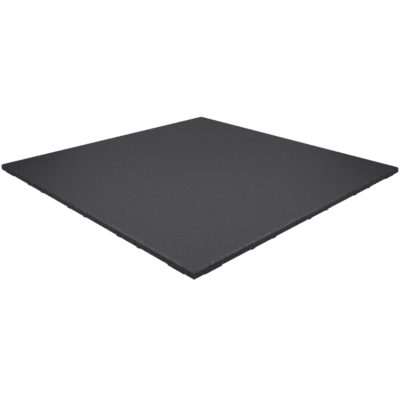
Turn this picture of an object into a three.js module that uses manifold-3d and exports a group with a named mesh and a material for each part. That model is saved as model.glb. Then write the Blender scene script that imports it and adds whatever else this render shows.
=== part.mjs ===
// A square rubber gym floor tile, moulded in one piece.
// Millimetres, +Z up. The origin is the centre of the plane that the tile rests on.

import * as THREE from 'three';
import { mergeVertices } from 'three/addons/utils/BufferGeometryUtils.js';
import Module from 'manifold-3d';

// Slab
const tileSide = 1000;
const slabThickness = 20;
const bevelWidth = 5; // 45 degree bevel round the top face
const bevelSoftening = 1.5; // length over which each edge of the bevel is rounded

// Relief under the slab, moulded with it
const footHeight = 2.5; // from the floor to the plain underside
const draftAngle = 15; // degrees that the walls of a foot lean, so that it leaves the mould
const padThickening = 0.8; // how far the face inside a ring lies below the plain underside

// Ring feet, on a square grid centred on the tile; those on the tile's edge are halves
const ringPitch = 250;
const ringOuterDiameter = 99;
const ringWall = 12.5;

// Corner feet, a quarter ring about each corner of the tile
const cornerReach = 92;
const cornerWall = 57;

// Room that two neighbouring feet keep between them
const footSpacing = 10;

// How far a solid runs past the face where it is joined or cut
const overrun = 1;

// Facets
const bevelSegments = 3;
const ringSegments = 32;
const cornerSegments = 48;

const rubber = new THREE.MeshStandardMaterial({
  color: '#4e4e52',
  roughness: 0.82,
  metalness: 0,
  flatShading: true,
});

const wasm = await Module();
wasm.setup();

function toSolid(geometry) {
  const bare = geometry.clone();
  bare.deleteAttribute('normal');
  bare.deleteAttribute('uv');
  const merged = mergeVertices(bare);
  const vertProperties = new Float32Array(merged.attributes.position.array);
  const triVerts = new Uint32Array(merged.index.array);
  return new wasm.Manifold(new wasm.Mesh({ numProp: 3, vertProperties, triVerts }));
}

function toGeometry(solid) {
  const mesh = solid.getMesh();
  const geometry = new THREE.BufferGeometry();
  geometry.setAttribute('position', new THREE.BufferAttribute(mesh.vertProperties, 3));
  geometry.setIndex(new THREE.BufferAttribute(mesh.triVerts, 1));
  geometry.computeVertexNormals();
  return geometry;
}

// The slab's section: square below, with a bevel at both top edges.
function slabSection() {
  const half = tileSide / 2;
  const top = slabThickness;
  const slope = bevelSoftening * Math.SQRT1_2;
  const section = new THREE.Shape();
  section.moveTo(-half, 0);
  section.lineTo(half, 0);
  section.lineTo(half, top - bevelWidth - bevelSoftening);
  section.quadraticCurveTo(half, top - bevelWidth, half - slope, top - bevelWidth + slope);
  section.lineTo(half - bevelWidth + slope, top - slope);
  section.quadraticCurveTo(half - bevelWidth, top, half - bevelWidth - bevelSoftening, top);
  section.lineTo(-half + bevelWidth + bevelSoftening, top);
  section.quadraticCurveTo(-half + bevelWidth, top, -half + bevelWidth - slope, top - slope);
  section.lineTo(-half + slope, top - bevelWidth + slope);
  section.quadraticCurveTo(-half, top - bevelWidth, -half, top - bevelWidth - bevelSoftening);
  section.closePath();
  return section;
}

// Two bars of that section cross at right angles, so the bevels meet in mitred corners.
function makeSlab() {
  const length = tileSide + 2 * overrun;
  const bar = new THREE.ExtrudeGeometry(slabSection(), {
    depth: length,
    bevelEnabled: false,
    curveSegments: bevelSegments,
  });
  bar.translate(0, 0, -length / 2);
  bar.rotateX(Math.PI / 2);
  bar.translate(0, 0, footHeight);
  const crossBar = bar.clone().rotateZ(Math.PI / 2);
  return toSolid(bar).intersect(toSolid(crossBar));
}

// A round foot, turned about Z: a ring that meets the floor, and the thicker face inside it.
function roundFoot(outerRadius, wall, segments) {
  const lean = Math.tan(THREE.MathUtils.degToRad(draftAngle));
  const innerRadius = outerRadius - wall;
  const padLevel = footHeight - padThickening;
  const top = footHeight + overrun;
  const profile = [
    new THREE.Vector2(0, padLevel),
    new THREE.Vector2(innerRadius - lean * padLevel, padLevel),
    new THREE.Vector2(innerRadius, 0),
    new THREE.Vector2(outerRadius, 0),
    new THREE.Vector2(outerRadius + lean * top, top),
    new THREE.Vector2(0, top),
  ];
  return new THREE.LatheGeometry(profile, segments).rotateX(Math.PI / 2);
}

// Grid lines that carry rings between the two corner feet of a side.
function ringLines() {
  const reach = tileSide / 2 - cornerReach - footSpacing - ringOuterDiameter / 2;
  const count = Math.max(0, Math.floor(reach / ringPitch));
  return Array.from({ length: 2 * count + 1 }, (_, i) => (i - count) * ringPitch);
}

function makeFeet() {
  const half = tileSide / 2;
  const ring = toSolid(roundFoot(ringOuterDiameter / 2, ringWall, ringSegments));
  const corner = toSolid(roundFoot(cornerReach, cornerWall, cornerSegments));
  const lines = ringLines();
  const places = [];
  for (const a of lines) {
    places.push([ring, a, -half], [ring, a, half], [ring, -half, a], [ring, half, a]);
    for (const b of lines) places.push([ring, a, b]);
  }
  for (const x of [-half, half]) {
    for (const y of [-half, half]) places.push([corner, x, y]);
  }
  const [first, ...others] = places.map(([foot, x, y]) => foot.translate([x, y, 0]));
  const all = others.reduce((joined, foot) => joined.add(foot), first);

  // Cut flush with the sides of the tile
  const height = 2 * (footHeight + slabThickness);
  const outline = toSolid(new THREE.BoxGeometry(tileSide, tileSide, height));
  return all.intersect(outline);
}

function makeTile() {
  const tile = new THREE.Mesh(toGeometry(makeSlab().add(makeFeet())), rubber);
  tile.name = 'tile';
  return tile;
}

const part = new THREE.Group();
part.add(makeTile());

export default part;
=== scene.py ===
"""A rubber gym floor tile, dressed as moulded black rubber and lying on a plain white floor.

Everything is in metres, +Z up, with the origin in the middle of the plane that the tile rests on.
"""

import math

import bmesh
import bpy
from mathutils import Matrix, Vector, noise
from mathutils.geometry import delaunay_2d_cdt


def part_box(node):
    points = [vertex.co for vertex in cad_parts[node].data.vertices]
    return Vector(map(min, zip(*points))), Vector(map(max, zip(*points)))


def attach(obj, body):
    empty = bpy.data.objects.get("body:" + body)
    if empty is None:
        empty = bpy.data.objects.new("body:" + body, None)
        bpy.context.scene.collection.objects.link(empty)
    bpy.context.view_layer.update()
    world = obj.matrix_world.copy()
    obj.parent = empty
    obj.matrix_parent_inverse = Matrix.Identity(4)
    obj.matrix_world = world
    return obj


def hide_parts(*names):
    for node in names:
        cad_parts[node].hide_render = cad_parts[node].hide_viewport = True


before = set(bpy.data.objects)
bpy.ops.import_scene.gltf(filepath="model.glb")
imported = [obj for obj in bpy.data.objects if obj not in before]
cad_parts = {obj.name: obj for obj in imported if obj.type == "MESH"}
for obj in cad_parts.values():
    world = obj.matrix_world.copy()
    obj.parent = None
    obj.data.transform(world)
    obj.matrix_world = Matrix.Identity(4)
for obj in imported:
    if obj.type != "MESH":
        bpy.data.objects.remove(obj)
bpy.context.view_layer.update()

# Sizes of the tile, from the frame
half_side, _, top_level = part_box("tile")[1]

# Sizes of its relief, as moulded
bevel_width = 0.005
bevel_softening = 0.0015
lip_softening = 0.002
foot_height = 0.0025
draft_angle = math.radians(15)
pad_thickening = 0.0008
ring_pitch = 0.25
ring_outer_radius = 0.0495
ring_wall = 0.0125
corner_reach = 0.092
corner_wall = 0.057

# Roundings that the mould leaves
corner_radius = 0.0012
hem_radius = 0.0006
foot_edge_radius = 0.0005
foot_root_radius = 0.0007

# How far the moulded edge wanders from its straight line, over what length, and how far in from the sides
unevenness = 0.00016
unevenness_size = 0.006
uneven_border = 0.012

# Fineness of the mesh, and the room kept between its points
column_spacing = 0.003
column_clearance = 0.0012  # between an even column and one at a foot's own edge
row_spacing = 0.0022
ring_segments = 72
corner_foot_segments = 128
corner_steps = 4
rounding_steps = 3
bevel_steps = 5
top_grid = 0.05
foot_margin = 0.002  # flat strip beside each wall of a foot
top_margins = (0.002, 0.005)  # two rows on the flat of the top, inside the lip
weld_distance = 2e-6
rim_clearance = 1e-5  # between the hem and the points of a foot's circle

# The camera, found from the corners of the tile in the photograph
photo_pixels = 400
focal_pixels = 494.0
camera_azimuth = math.radians(-44.27)
camera_elevation = math.radians(23.75)
camera_roll = math.radians(0.175)
camera_distance = 1.4735
camera_aim = Vector((-0.2106, -0.2214, top_level))
nearest_seen = 0.01

# The floor: how far it reaches, how bright it and what is beyond it look, and what they give the tile
floor_reach = 60
white_level = 1.0
floor_shade = 0.74
surround_light = 0.02

# The soft box over the tile: its height, where it hangs, its width and length, and its power in watts
overhead_height = 0.4
overhead_towards_camera = 0.17
overhead_to_the_right = 0.015
overhead_size = (1.6, 1.4)
overhead_power = 3.95

# The other soft boxes: turn from the camera and height, in degrees, distance, width and length, and power
soft_boxes = {
    "front": (0, 50, 1.2, (0.5, 0.5), 3.5),
    "left": (-80, 35, 1.5, (0.7, 0.7), 2.1),
    "right": (80, 35, 1.5, (0.7, 0.7), 2.1),
    "behind": (180, 18, 3.0, (2.6, 1.2), 5.6),
}

# The rubber's own colour, and the crumb that it is pressed from
rubber_colour = (0.0362, 0.0357, 0.0470)
crumb_size = 0.0026
fine_crumb_size = 0.0011
fine_crumb_share = 0.45
crumb_stir = 0.0014
pinhole_spacing = 0.006
pinhole_bottom = 0.00036
pinhole_rim = 0.00084

# Seams and hollows between crumbs, as shares of a crumb's size, and how much the finer crumbs show in them
seam_width = 0.14
hollow_edges = (0.5, 0.85)
fine_seam_depth = 0.7
fine_bulge = 0.3

# Where the lip and the foot of the sides lie: distances in from the sides on top, where wear and a painted
# highlight make the lip paler, and heights on the sides, where painted shade darkens their foot
lip_wear_and_highlight_reach = (0.006, 0.0125)
lip_reach_wander = 0.004
painted_hem_shade_heights = (0.002, 0.0065)

# How much wear, dirt, painted highlight and painted shade change the tone, where 1 is the rubber's own
# colour: the bevel and lip are paler from wear and a painted highlight, the hem darker from painted shade
cloudiness = 0.10
blotchiness = 0.05
side_patchiness = 3.0
bevel_wear_and_painted_highlight = 0.60
bevel_scuffs_and_painted_highlight = 1.15
lip_wear_and_painted_highlight = 0.15
lip_scuffs_and_painted_highlight = 0.8
underside_paleness = 0.25
underside_blotches = 0.3
painted_hem_shade = 0.7

# The unit of the rubber's fine relief
micron = 1e-6

up = Vector((0, 0, 1))


def direction(azimuth, elevation):
    """Unit vector from the tile towards a viewer or a light. Azimuth 0 is straight in front, at -Y."""
    flat = math.cos(elevation)
    return Vector((math.sin(azimuth) * flat, -math.cos(azimuth) * flat, math.sin(elevation)))


def place_camera():
    """The camera where the photograph was taken from, with colours shown as they are."""
    data = bpy.data.cameras.new("camera")
    data.lens = focal_pixels / photo_pixels * data.sensor_width
    data.clip_start = nearest_seen
    camera = bpy.data.objects.new("camera", data)
    back = direction(camera_azimuth, camera_elevation)
    level = direction(camera_azimuth + math.radians(90), 0)
    lift = back.cross(level)
    right = math.cos(camera_roll) * level + math.sin(camera_roll) * lift
    above = math.cos(camera_roll) * lift - math.sin(camera_roll) * level
    axes = Matrix((right, above, back)).transposed()
    camera.matrix_world = Matrix.Translation(camera_aim + camera_distance * back) @ axes.to_4x4()
    bpy.context.scene.collection.objects.link(camera)
    bpy.context.scene.camera = camera
    bpy.context.scene.view_settings.view_transform = "Standard"


class Value:
    """What a node gives out. Arithmetic on it adds Math nodes, so it is done on numbers only."""

    def __init__(self, finish, socket):
        self.finish = finish
        self.socket = socket

    def math(self, operation, *numbers):
        return self.finish.node("ShaderNodeMath", {"operation": operation}, dict(enumerate(numbers)))

    def __add__(self, other):
        return self.math("ADD", self, other)

    def __radd__(self, other):
        return self.math("ADD", other, self)

    def __sub__(self, other):
        return self.math("SUBTRACT", self, other)

    def __rsub__(self, other):
        return self.math("SUBTRACT", other, self)

    def __mul__(self, other):
        return self.math("MULTIPLY", self, other)

    def __rmul__(self, other):
        return self.math("MULTIPLY", other, self)

    def __abs__(self):
        return self.math("ABSOLUTE", self)

    def above(self, other):
        """The larger of two numbers."""
        return self.math("MAXIMUM", self, other)

    def rise(self, low, high):
        """0 up to low, 1 from high on, with a soft step between them."""
        sockets = {"Value": self, "From Min": low, "From Max": high, "To Min": 0.0, "To Max": 1.0}
        return self.finish.node("ShaderNodeMapRange", {"interpolation_type": "SMOOTHSTEP"}, sockets)


class Finish:
    """The nodes of a material, or of the surround, in the making."""

    def __init__(self, owner, ending="ShaderNodeOutputMaterial"):
        owner.use_nodes = True
        self.owner = owner
        self.ending = ending
        self.tree = owner.node_tree
        self.tree.nodes.clear()

    def node(self, kind, settings=None, sockets=None, out=0):
        """Adds a node, sets it up, fills or links its sockets, and gives the output or outputs asked for."""
        node = self.tree.nodes.new(kind)
        for name, setting in (settings or {}).items():
            setattr(node, name, setting)
        for name, given in (sockets or {}).items():
            socket = self.find(node.inputs, name)
            if isinstance(given, Value):
                self.tree.links.new(given.socket, socket)
            else:
                socket.default_value = given
        if isinstance(out, tuple):
            return [Value(self, self.find(node.outputs, name)) for name in out]
        return Value(self, self.find(node.outputs, out))

    @staticmethod
    def find(sockets, name):
        """A socket by its name, or by its number among those in use."""
        in_use = [socket for socket in sockets if socket.enabled]
        if isinstance(name, int):
            return in_use[name]
        return next(socket for socket in in_use if socket.name == name)

    def show(self, shader):
        """Ends in a shader, and gives the finished material or surround."""
        output = self.tree.nodes.new(self.ending)
        self.tree.links.new(shader.socket, output.inputs["Surface"])
        return self.owner

    def clouds(self, place, size, detail, roughness, out="Fac"):
        """Noise from 0 to 1, with features of about the given size."""
        sockets = {"Vector": place, "Scale": 1 / size, "Detail": detail, "Roughness": roughness}
        return self.node("ShaderNodeTexNoise", {}, sockets, out=out)

    def cells(self, place, size, settings=None, out="Distance"):
        """Cells of about the given size: the distance from a cell's middle, or what else is asked for."""
        return self.node("ShaderNodeTexVoronoi", settings, {"Vector": place, "Scale": 1 / size}, out=out)

    def tint(self, colour, brightness):
        """A colour made lighter or darker by a number that varies over the surface."""
        return self.node("ShaderNodeVectorMath", {"operation": "SCALE"}, {0: colour, "Scale": brightness})


def crumbs_of(finish, place, size):
    """Tone, gloss and chance of crumbs of one size, the distance from their middles, and their seams."""
    colour, distance = finish.cells(place, size, out=("Color", "Distance"))
    drawn = finish.node("ShaderNodeSeparateColor", {}, {"Color": colour}, out=("Red", "Green", "Blue"))
    to_edge = finish.cells(place, size, {"feature": "DISTANCE_TO_EDGE"})
    return *drawn, distance, 1 - to_edge.rise(0.0, seam_width)


def pressed_crumb(finish, place):
    """Tone and gloss of the crumbs, their seams, the hollows between them and how far they bulge."""
    # Shreds rather than neat cells: the places are pushed about before the crumbs are laid out
    stir = finish.clouds(place, size=crumb_size / 2, detail=1, roughness=0.5, out="Color")
    push = finish.node("ShaderNodeVectorMath", {"operation": "SUBTRACT"}, {0: stir, 1: (0.5, 0.5, 0.5)})
    pushed = {0: push, 1: (crumb_stir,) * 3, 2: place}
    stirred = finish.node("ShaderNodeVectorMath", {"operation": "MULTIPLY_ADD"}, pushed)

    # Coarse crumbs, with finer and shallower ones in the place of some of them
    tone, gloss, chance, distance, seam = crumbs_of(finish, stirred, crumb_size)
    fine_tone, fine_gloss, _, fine_distance, fine_seam = crumbs_of(finish, stirred, fine_crumb_size)
    coarse_share = 1 - fine_crumb_share
    fine = chance.rise(coarse_share, coarse_share + 0.01)
    tone = tone + fine * (fine_tone - tone)
    gloss = gloss + fine * (fine_gloss - gloss)
    seam = seam.above(fine_seam_depth * fine * fine_seam)
    hollow = distance.rise(*hollow_edges)
    bulge = 1 - distance - fine_bulge * fine * fine_distance
    return tone, gloss, seam, hollow, bulge


def rubber_finish():
    """Black rubber pressed from fine crumb: a dull smooth skin on top, rawer sides and underside."""
    finish = Finish(bpy.data.materials.new("moulded_rubber"))
    place = finish.node("ShaderNodeTexCoord", out="Object")
    normal = finish.node("ShaderNodeNewGeometry", out="Normal")
    x, y, level = finish.node("ShaderNodeSeparateXYZ", {}, {"Vector": place}, out=("X", "Y", "Z"))
    uprightness = finish.node("ShaderNodeSeparateXYZ", {}, {"Vector": normal}, out="Z")

    # Which face a point is on: it faces straight up at 1, and the bevel is at 0.7
    skin = uprightness.rise(0.75, 0.97)
    bevel = uprightness.rise(0.2, 0.6) * (1 - skin)
    underneath = (0 - uprightness).rise(0.3, 0.7)
    raw = (1 - skin) * (1 - 0.8 * bevel)

    def strength(on_skin, on_raw):
        """A number that goes from one value on the pressed skin to another on the raw faces."""
        return on_skin + (on_raw - on_skin) * raw

    # The crumb, and the pinholes between, which are mostly away from the skin
    crumb, gloss, seam, hollow, bulge = pressed_crumb(finish, place)
    grit = finish.clouds(place, size=0.0004, detail=2, roughness=0.6) - 0.5
    from_pinhole = finish.cells(place, pinhole_spacing)
    pinhole = 1 - from_pinhole.rise(pinhole_bottom / pinhole_spacing, pinhole_rim / pinhole_spacing)

    # Handling marks, dust and the cloudiness of the pressed rubber, from large to small; the scuffs also
    # break up the painted highlight on the bevel and lip
    cloud = finish.clouds(place, size=0.2, detail=4, roughness=0.55) - 0.5
    blotch = finish.clouds(place, size=0.026, detail=3, roughness=0.6) - 0.5
    scuff = finish.clouds(place, size=0.009, detail=4, roughness=0.65).rise(0.46, 0.66)
    wander = finish.clouds(place, size=0.0075, detail=4, roughness=0.75) - 0.5
    patch = finish.clouds(place, size=0.006, detail=1.5, roughness=0.6) - 0.5

    # The lip of the top, paler from wear and a painted highlight, and the foot of the sides, darker from
    # painted shade
    from_border = half_side - abs(x).above(abs(y))
    lip = skin * (1 - (from_border + lip_reach_wander * wander).rise(*lip_wear_and_highlight_reach))
    hem = 1 - level.rise(*painted_hem_shade_heights)

    # Tone, as a share of the rubber's own colour, with painted highlight and painted shade in it
    tone = strength(1.015, 0.935) + (crumb - 0.5) * strength(0.24, 0.44)
    tone = tone + cloudiness * cloud + blotchiness * blotch + side_patchiness * raw * patch
    # The bevel is paler, partly from scuffed wear and partly as a painted highlight
    tone = tone + bevel * (bevel_wear_and_painted_highlight + bevel_scuffs_and_painted_highlight * scuff)
    # The lip beside the bevel is paler too, from wear and a painted highlight that widens the bevel's
    tone = tone + lip * (lip_wear_and_painted_highlight + lip_scuffs_and_painted_highlight * scuff)
    tone = tone + underneath * (underside_paleness + underside_blotches * blotch)
    # Darker in the pinholes and in the hollows between crumbs, as painted shade in these recesses, and along
    # the dark seams between crumbs
    tone = tone * (1 - pinhole * strength(0.05, 0.60)) * (1 - seam * strength(0.10, 0.22))
    # Darker at the foot of the sides, as painted shade
    tone = tone * (1 - hollow * strength(0.06, 0.46)) * (1 - painted_hem_shade * hem)

    # Relief in microns, half as deep on the bevel, which is pressed and rubbed smooth
    height = bulge * strength(20, 80) - seam * strength(20, 70)
    height = height + crumb * strength(30, 100) - hollow * strength(10, 130)
    height = height + 40 * grit - pinhole * strength(20, 370)
    height = height * (1 - 0.5 * bevel)
    relief = finish.node("ShaderNodeBump", {}, {"Strength": 1.0, "Distance": 1.0, "Height": micron * height})

    roughness = strength(0.50, 0.62) + 0.16 * grit + 0.10 * blotch + 0.18 * (gloss - 0.5) - 0.18 * bevel
    shader = finish.node(
        "ShaderNodeBsdfPrincipled",
        {},
        {
            "Base Color": finish.tint(rubber_colour, tone),
            "Roughness": roughness,
            "Normal": relief,
            "IOR": 1.5,
            "Specular IOR Level": 0.5,
        },
    )
    return finish.show(shader)


def floor_finish():
    """A matt pale floor as the tile sees it, which looks plain white to the viewer."""
    finish = Finish(bpy.data.materials.new("pale_floor"))
    matt = finish.node("ShaderNodeBsdfDiffuse", {}, {"Color": (floor_shade, floor_shade, floor_shade, 1)})
    white = finish.node("ShaderNodeEmission", {}, {"Color": (1, 1, 1, 1), "Strength": white_level})
    seen = finish.node("ShaderNodeLightPath", out="Is Camera Ray")
    return finish.show(finish.node("ShaderNodeMixShader", {}, {"Fac": seen, 1: matt, 2: white}))


def object_from(name, mesh, material):
    """A mesh as an object of the scene, in one material."""
    made = bpy.data.objects.new(name, mesh)
    made.data.materials.append(material)
    bpy.context.scene.collection.objects.link(made)
    return made


def lay_floor():
    """The flat that the tile lies on."""
    r = floor_reach
    mesh = bpy.data.meshes.new("floor")
    mesh.from_pydata([(-r, -r, 0), (r, -r, 0), (r, r, 0), (-r, r, 0)], [], [(0, 1, 2, 3)])
    object_from("floor", mesh, floor_finish())


def hang_light(name, place, target, size, power, along=up):
    """A soft box that faces its target, with its length along a given direction."""
    data = bpy.data.lights.new(name, "AREA")
    data.shape = "RECTANGLE"
    data.size, data.size_y = size
    data.energy = power
    light = bpy.data.objects.new(name, data)
    back = (place - target).normalized()
    level = along.cross(back).normalized()
    axes = Matrix((level, back.cross(level), back)).transposed()
    light.matrix_world = Matrix.Translation(place) @ axes.to_4x4()
    light.visible_camera = False
    bpy.context.scene.collection.objects.link(light)


def light_studio():
    """A wide soft box close over the tile, one before it, one at each side, and a wide one far behind it."""
    towards_camera = direction(camera_azimuth, 0)
    to_the_right = direction(camera_azimuth + math.radians(90), 0)
    under = overhead_towards_camera * towards_camera + overhead_to_the_right * to_the_right
    over = under + overhead_height * up
    hang_light("overhead", over, under, overhead_size, overhead_power, along=towards_camera)
    middle = Vector((0, 0, 0))
    for name, (turn, height, distance, size, power) in soft_boxes.items():
        place = distance * direction(camera_azimuth + math.radians(turn), math.radians(height))
        hang_light(name, place, middle, size, power)


def pale_surround():
    """White to look at beyond the floor, but too dim to light the tile by itself."""
    finish = Finish(bpy.data.worlds.new("surround"), ending="ShaderNodeOutputWorld")
    seen = finish.node("ShaderNodeLightPath", out="Is Camera Ray")
    sockets = {"Color": (1, 1, 1, 1), "Strength": surround_light + seen * (white_level - surround_light)}
    bpy.context.scene.world = finish.show(finish.node("ShaderNodeBackground", {}, sockets))


def rounding(centre, radius, start, end, steps):
    """Points on an arc in the plane of a section, from one angle to the other, in degrees."""
    angles = [math.radians(start + (end - start) * i / steps) for i in range(steps + 1)]
    return [(centre[0] + radius * math.cos(a), centre[1] + radius * math.sin(a)) for a in angles]


def softened(before, corner, after, steps):
    """A corner of the section worn to a parabola between two points."""
    points = []
    for i in range(steps + 1):
        t = i / steps
        pull = ((1 - t) ** 2, 2 * t * (1 - t), t**2)
        points.append(tuple(sum(w * p[k] for w, p in zip(pull, (before, corner, after))) for k in (0, 1)))
    return points


def foot_wall(foot_radius, outward, root_level):
    """One wall of a ring foot, from its root fillet to the rounded edge of its tread."""
    steep = 90 - math.degrees(draft_angle)
    tuck = outward * math.tan(math.radians(steep / 2))
    root_radius = foot_radius + outward * math.tan(draft_angle) * root_level
    fillet_centre = (root_radius + tuck * foot_root_radius, root_level - foot_root_radius)
    edge_centre = (foot_radius - tuck * foot_edge_radius, foot_edge_radius)
    fillet = rounding(fillet_centre, foot_root_radius, 90, 90 + outward * steep, rounding_steps)
    edge = rounding(edge_centre, foot_edge_radius, outward * steep - 90, -90, rounding_steps)
    return fillet + edge


def foot_profile(outer_radius, wall):
    """Radius and level of a foot's section, from just inside its ring to just outside it."""
    pad_level = foot_height - pad_thickening
    inner = foot_wall(outer_radius - wall, -1, pad_level)
    outer = foot_wall(outer_radius, 1, foot_height)[::-1]
    inner_margin = (inner[0][0] - foot_margin, pad_level)
    outer_margin = (outer[-1][0] + foot_margin, foot_height)
    return [inner_margin] + inner + outer + [outer_margin]


def level_under(profile, radius):
    """Height of the underside at a distance from the middle of a foot."""
    if radius <= profile[0][0]:
        return profile[0][1]
    for (near, low), (far, high) in zip(profile, profile[1:]):
        if radius <= far:
            return low + (high - low) * (radius - near) / (far - near)
    return foot_height


def foot_places():
    """Each foot's middle, profile and number of segments: rings on the grid, and one at each corner."""
    lines = [-ring_pitch, 0.0, ring_pitch]
    border = [-half_side, half_side]
    ring = foot_profile(ring_outer_radius, ring_wall)
    corner = foot_profile(corner_reach, corner_wall)
    places = [((x, y), ring, ring_segments) for x in lines for y in lines]
    places += [((x, y), ring, ring_segments) for x in lines for y in border]
    places += [((x, y), ring, ring_segments) for x in border for y in lines]
    places += [((x, y), corner, corner_foot_segments) for x in border for y in border]
    return places


def underside_level(feet, x, y):
    """Height of the underside at a place."""
    for (cx, cy), profile, _ in feet:
        radius = math.hypot(x - cx, y - cy)
        if radius <= profile[-1][0]:
            return level_under(profile, radius)
    return foot_height


def side_stations(feet, inset):
    """Positions along one side, where the border columns stand: even steps, and each foot's own edges."""
    reach = half_side - inset - corner_radius
    count = round(2 * reach / column_spacing)
    even = [-reach + 2 * reach * i / count for i in range(count + 1)]
    own = []
    for (cx, cy), profile, _ in feet:
        if abs(cy + half_side) < weld_distance:
            for radius, _ in profile:
                offset = math.sqrt(radius**2 - inset**2)
                own += [cx - offset, cx + offset]
    own = [s for s in own if abs(s) < reach]
    ends = [even[0], even[-1]]
    kept = [s for s in even if s in ends or all(abs(s - o) > column_clearance for o in own)]
    return sorted(kept + own)


def border_loop(stations, station_inset, inset):
    """The tile's outline at some inset from its sides, with rounded corners, as seen from above."""
    full = half_side - station_inset - corner_radius
    reach = half_side - inset - corner_radius
    side = [(s * reach / full, inset - half_side) for s in stations]
    quarter = side + rounding((reach, -reach), corner_radius, -90, 0, corner_steps)[1:-1]
    quarter_turns = [(1, 0), (0, 1), (-1, 0), (0, -1)]
    return [(c * x - s * y, s * x + c * y) for c, s in quarter_turns for x, y in quarter]


def border_section(base_level):
    """Inset and level of the border, from the hem at the underside to the flat of the top."""
    hem = rounding((hem_radius, base_level + hem_radius), hem_radius, -90, -180, rounding_steps)
    bottom = hem[-1][1]
    wall_top = top_level - bevel_width - bevel_softening
    rows = round((wall_top - foot_height) / row_spacing)
    wall = [(0.0, bottom + (wall_top - bottom) * i / rows) for i in range(1, rows)]
    slope = bevel_softening * math.sqrt(0.5)
    lower = softened(
        (0.0, wall_top),
        (0.0, top_level - bevel_width),
        (slope, top_level - bevel_width + slope),
        bevel_steps,
    )
    lip_slope = lip_softening * math.sqrt(0.5)
    upper = softened(
        (bevel_width - lip_slope, top_level - lip_slope),
        (bevel_width, top_level),
        (bevel_width + lip_softening, top_level),
        bevel_steps,
    )
    middle = [tuple((a + b) / 2 for a, b in zip(lower[-1], upper[0]))]
    flat = [(upper[-1][0] + margin, top_level) for margin in top_margins]
    return hem + wall + lower + middle + upper + flat


def fill(outline, inner_points, inner_edges, level):
    """Triangles inside an outline, with some points and edges given, each point at its own level."""
    inside_only = 1
    tolerance = 1e-7
    count = len(outline)
    points = [Vector(p) for p in outline + inner_points]
    edges = [(i, (i + 1) % count) for i in range(count)]
    edges += [(a + count, b + count) for a, b in inner_edges]
    found = delaunay_2d_cdt(points, edges, [list(range(count))], inside_only, tolerance, False)
    return [(p.x, p.y, level(p.x, p.y)) for p in found[0]], found[2]


def foot_circles(feet, reach):
    """Points and edges of the circles where a foot's section bends, cut off at the hem."""
    points, edges = [], []
    for (cx, cy), profile, segments in feet:
        for radius, _ in profile:
            index = {}
            for i in range(segments):
                angle = 2 * math.pi * i / segments
                x, y = cx + radius * math.cos(angle), cy + radius * math.sin(angle)
                if max(abs(x), abs(y)) < reach - rim_clearance:
                    index[i] = len(points)
                    points.append((x, y))
            following = {i: (i + 1) % segments for i in index}
            edges += [(index[i], index[j]) for i, j in following.items() if j in index]
    return points, edges


def add_faces(tile, points, faces, flip):
    """Adds a filled outline to the tile, turned over where it faces down."""
    made = [tile.verts.new(p) for p in points]
    for face in faces:
        corners = [made[i] for i in face]
        tile.faces.new(corners[::-1] if flip else corners)


def mould_border(tile, feet, stations):
    """The hem, the side wall, the bevel and the edge of the top, as one band round the tile."""
    hem_loop = border_loop(stations, hem_radius, hem_radius)
    sections = [border_section(underside_level(feet, x, y)) for x, y in hem_loop]
    loops = []
    for row, (inset, _) in enumerate(sections[0]):
        outline = border_loop(stations, hem_radius, inset)
        loops.append([tile.verts.new((x, y, section[row][1])) for (x, y), section in zip(outline, sections)])
    for lower, upper in zip(loops, loops[1:]):
        for i in range(len(lower)):
            j = (i + 1) % len(lower)
            tile.faces.new((lower[i], lower[j], upper[j], upper[i]))
    top_loop = [(v.co.x, v.co.y) for v in loops[-1]]
    return hem_loop, top_loop


def mould_top(tile, top_loop):
    """The flat of the top, on a coarse grid."""
    steps = round(2 * half_side / top_grid)
    lines = [-half_side + 2 * half_side * i / steps for i in range(1, steps)]
    grid = [(x, y) for x in lines for y in lines]
    points, faces = fill(top_loop, grid, [], lambda x, y: top_level)
    add_faces(tile, points, faces, flip=False)


def mould_underside(tile, feet, hem_loop):
    """The underside with its feet."""
    circles, edges = foot_circles(feet, half_side - hem_radius)
    points, faces = fill(hem_loop, circles, edges, lambda x, y: underside_level(feet, x, y))
    add_faces(tile, points, faces, flip=True)


def wear_edges(tile):
    """Moves the border inwards by a hair here and there, as pressed rubber comes out of its mould."""
    tile.normal_update()
    for vertex in tile.verts:
        x, y, _ = vertex.co
        near = 1 - (half_side - max(abs(x), abs(y))) / uneven_border
        if near <= 0:
            continue
        swing = 0.5 + 0.5 * noise.noise(vertex.co / unevenness_size)
        vertex.co -= vertex.normal * unevenness * min(1, 2 * near) * max(0, min(1, swing))


def mould_tile():
    """The whole tile as one closed mesh, in place of its plain solid."""
    feet = foot_places()
    tile = bmesh.new()
    stations = side_stations(feet, hem_radius)
    hem_loop, top_loop = mould_border(tile, feet, stations)
    mould_top(tile, top_loop)
    mould_underside(tile, feet, hem_loop)
    bmesh.ops.remove_doubles(tile, verts=tile.verts, dist=weld_distance)
    wear_edges(tile)
    for face in tile.faces:
        face.smooth = True
    mesh = bpy.data.meshes.new("moulded_tile")
    tile.to_mesh(mesh)
    tile.free()
    piece = object_from("moulded_tile", mesh, rubber_finish())
    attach(piece, "root")
    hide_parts("tile")


place_camera()
lay_floor()
light_studio()
pale_surround()
mould_tile()
